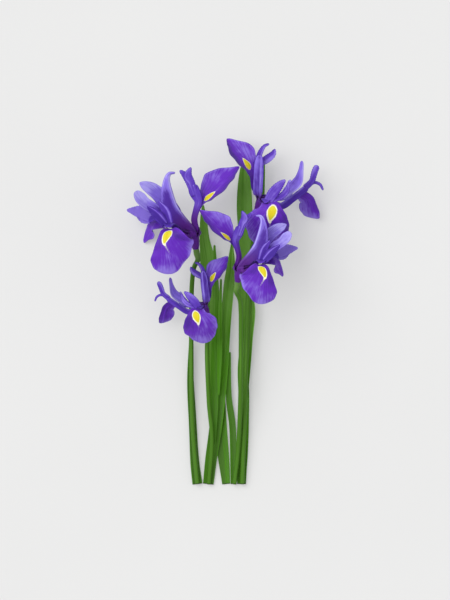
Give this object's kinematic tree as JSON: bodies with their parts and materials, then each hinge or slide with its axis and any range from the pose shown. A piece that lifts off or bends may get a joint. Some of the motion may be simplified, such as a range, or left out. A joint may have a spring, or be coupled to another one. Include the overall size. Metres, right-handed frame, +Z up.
{
  "type": "bunch of cut irises",
  "caption": "Bunch of cut Dutch irises lying flat: violet falls with yellow signals, paler standards and style arms, green stems and long channelled leaves.",
  "frame": {"origin": "middle of the bunch's plan on the surface that it lies on", "axes": "+X across the bunch, +Y from the cut ends to the blooms, +Z up from the surface"},
  "size_m": [0.1973, 0.3465, 0.096],
  "materials": {
    "falls": "soft satin petal",
    "standards": "soft satin petal",
    "style_arms": "soft satin petal",
    "stems": "waxy green stem",
    "leaves": "waxy green leaf"
  },
  "bodies": {
    "root": {"iris_a_falls": "falls", "iris_a_standards": "standards", "iris_a_styles": "style_arms", "iris_a_stem": "stems", "iris_b_falls": "falls", "iris_b_standards": "standards", "iris_b_styles": "style_arms", "iris_b_stem": "stems", "iris_c_falls": "falls", "iris_c_standards": "standards", "iris_c_styles": "style_arms", "iris_c_stem": "stems", "iris_d_falls": "falls", "iris_d_standards": "standards", "iris_d_styles": "style_arms", "iris_d_stem": "stems", "leaf_1": "leaves", "leaf_2": "leaves", "leaf_3": "leaves", "leaf_4": "leaves", "leaf_5": "leaves", "leaf_6": "leaves", "leaf_7": "leaves", "leaf_8": "leaves", "leaf_9": "leaves"}
  },
  "joints": []
}
